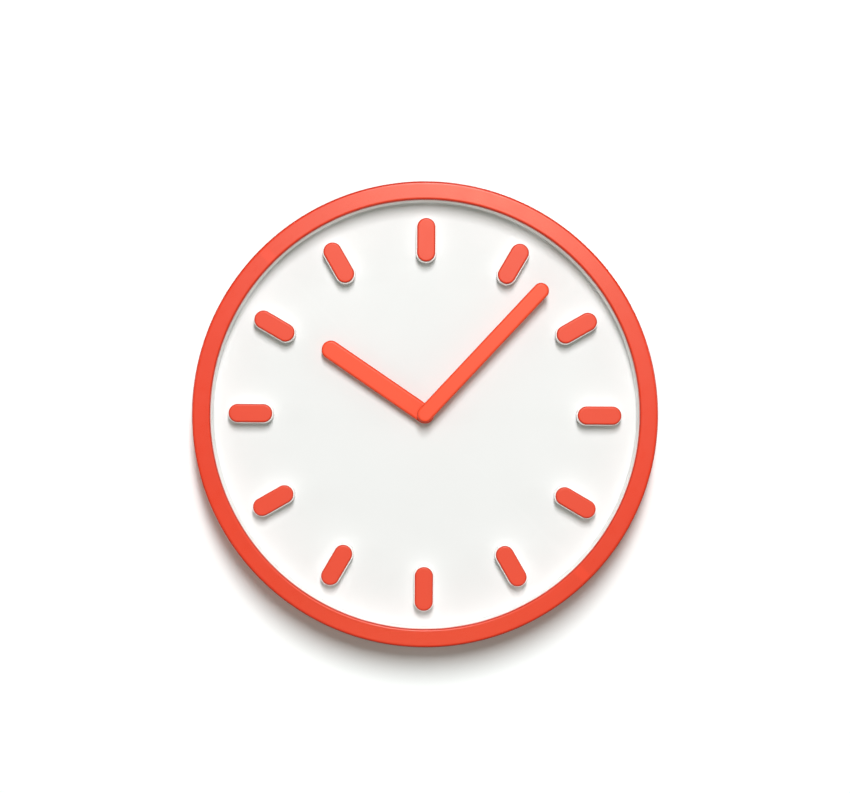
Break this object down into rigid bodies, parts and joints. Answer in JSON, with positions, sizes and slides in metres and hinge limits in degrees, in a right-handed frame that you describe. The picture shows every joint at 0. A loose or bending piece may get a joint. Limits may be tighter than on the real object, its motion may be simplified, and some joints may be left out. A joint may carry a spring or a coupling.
{
  "type": "wall clock",
  "caption": "Round wall clock with a wide raised ring, a deep plain dial with raised bar hour markers, two plain hands and a battery quartz movement behind.",
  "frame": {"origin": "on the hands' axis, in the plane where the rear rim meets the wall", "axes": "+Y into the wall along the hands' axis, +Z towards twelve o'clock, +X towards three o'clock"},
  "size_m": [0.36, 0.042, 0.36],
  "materials": {
    "red_shell": "satin moulded ABS with a fine grain",
    "dial_white": "matt moulded ABS",
    "marker_red": "satin moulded ABS",
    "hand_red": "satin moulded ABS",
    "screw_steel": "zinc plated",
    "rubber_black": "matt",
    "brass": "turned",
    "washer_steel": "stamped",
    "case_black": "fine textured ABS",
    "bridge_plastic": "moulded acetal",
    "gear_acetal": "moulded acetal",
    "cell_wrap": "shrink sleeve",
    "contact_nickel": "nickel plated strip",
    "board_green": "solder mask",
    "epoxy_black": "epoxy",
    "crystal_can": "plated can",
    "copper_wire": "enamelled copper winding",
    "magnet_ferrite": "sintered magnet",
    "lamination": "stamped sheet"
  },
  "bodies": {
    "case": {"bezel": "red_shell", "dial": "dial_white", "hour_marker_1": "marker_red", "hour_marker_2": "marker_red", "hour_marker_3": "marker_red", "hour_marker_4": "marker_red", "hour_marker_5": "marker_red", "hour_marker_6": "marker_red", "hour_marker_7": "marker_red", "hour_marker_8": "marker_red", "hour_marker_9": "marker_red", "hour_marker_10": "marker_red", "hour_marker_11": "marker_red", "hour_marker_12": "marker_red", "rear_cover": "red_shell", "cover_screws": "screw_steel", "wall_bumpers": "rubber_black", "mounting_nut": "brass", "dial_washer": "washer_steel", "rubber_washer": "rubber_black", "movement_case": "case_black", "movement_front_cover": "case_black", "threaded_bush": "brass", "bridge_plate": "bridge_plastic", "battery": "cell_wrap", "positive_contact": "contact_nickel", "negative_contact": "contact_nickel", "circuit_board": "board_green", "driver_chip": "epoxy_black", "quartz_crystal": "crystal_can", "coil_bobbin": "bridge_plastic", "coil_winding": "copper_wire", "coil_core": "lamination", "stator": "lamination"},
    "minute_group": {"minute_hand": "hand_red", "minute_arbor": "brass", "centre_wheel": "brass"},
    "hour_group": {"hour_hand": "hand_red", "hour_wheel": "gear_acetal"},
    "minute_wheel_body": {"minute_wheel": "gear_acetal"},
    "third_wheel_body": {"third_wheel": "gear_acetal"},
    "seconds_wheel_body": {"seconds_wheel": "gear_acetal"},
    "intermediate_body": {"intermediate_wheel": "gear_acetal"},
    "rotor_body": {"rotor": "gear_acetal", "rotor_magnet": "magnet_ferrite"},
    "setting_body": {"setting_arbor": "gear_acetal", "setting_knob": "gear_acetal"}
  },
  "joints": [
    {"name": "minute_hand_turn", "type": "hinge", "parent": "case", "child": "minute_group", "pos_m": [0, -0.02, 0], "axis": [0, 1, 0], "continuous": true},
    {"name": "hour_hand_turn", "type": "hinge", "parent": "case", "child": "hour_group", "pos_m": [0, -0.02, 0], "axis": [0, 1, 0], "continuous": true},
    {"name": "minute_wheel_turn", "type": "hinge", "parent": "case", "child": "minute_wheel_body", "pos_m": [-0.00636, -0.015, 0.00636], "axis": [0, 1, 0], "continuous": true},
    {"name": "setting_knob_turn", "type": "hinge", "parent": "case", "child": "setting_body", "pos_m": [-0.01452, -0.003, 0.01017], "axis": [0, 1, 0], "continuous": true},
    {"name": "third_wheel_turn", "type": "hinge", "parent": "case", "child": "third_wheel_body", "pos_m": [0.00792, -0.009, 0], "axis": [0, 1, 0], "continuous": true},
    {"name": "seconds_wheel_turn", "type": "hinge", "parent": "case", "child": "seconds_wheel_body", "pos_m": [0, -0.007, 0], "axis": [0, 1, 0], "continuous": true},
    {"name": "intermediate_wheel_turn", "type": "hinge", "parent": "case", "child": "intermediate_body", "pos_m": [0.00408, -0.008, 0.00707], "axis": [0, 1, 0], "continuous": true},
    {"name": "rotor_turn", "type": "hinge", "parent": "case", "child": "rotor_body", "pos_m": [0.00944, -0.01, 0.01157], "axis": [0, 1, 0], "continuous": true}
  ],
  "couplings": [
    {"joint": "hour_hand_turn", "follows": "minute_hand_turn", "ratio": 0.083333},
    {"joint": "minute_wheel_turn", "follows": "minute_hand_turn", "ratio": -0.33333},
    {"joint": "setting_knob_turn", "follows": "minute_hand_turn", "ratio": 1},
    {"joint": "third_wheel_turn", "follows": "minute_hand_turn", "ratio": -8},
    {"joint": "seconds_wheel_turn", "follows": "minute_hand_turn", "ratio": 60},
    {"joint": "intermediate_wheel_turn", "follows": "minute_hand_turn", "ratio": -300},
    {"joint": "rotor_turn", "follows": "minute_hand_turn", "ratio": 1800}
  ]
}
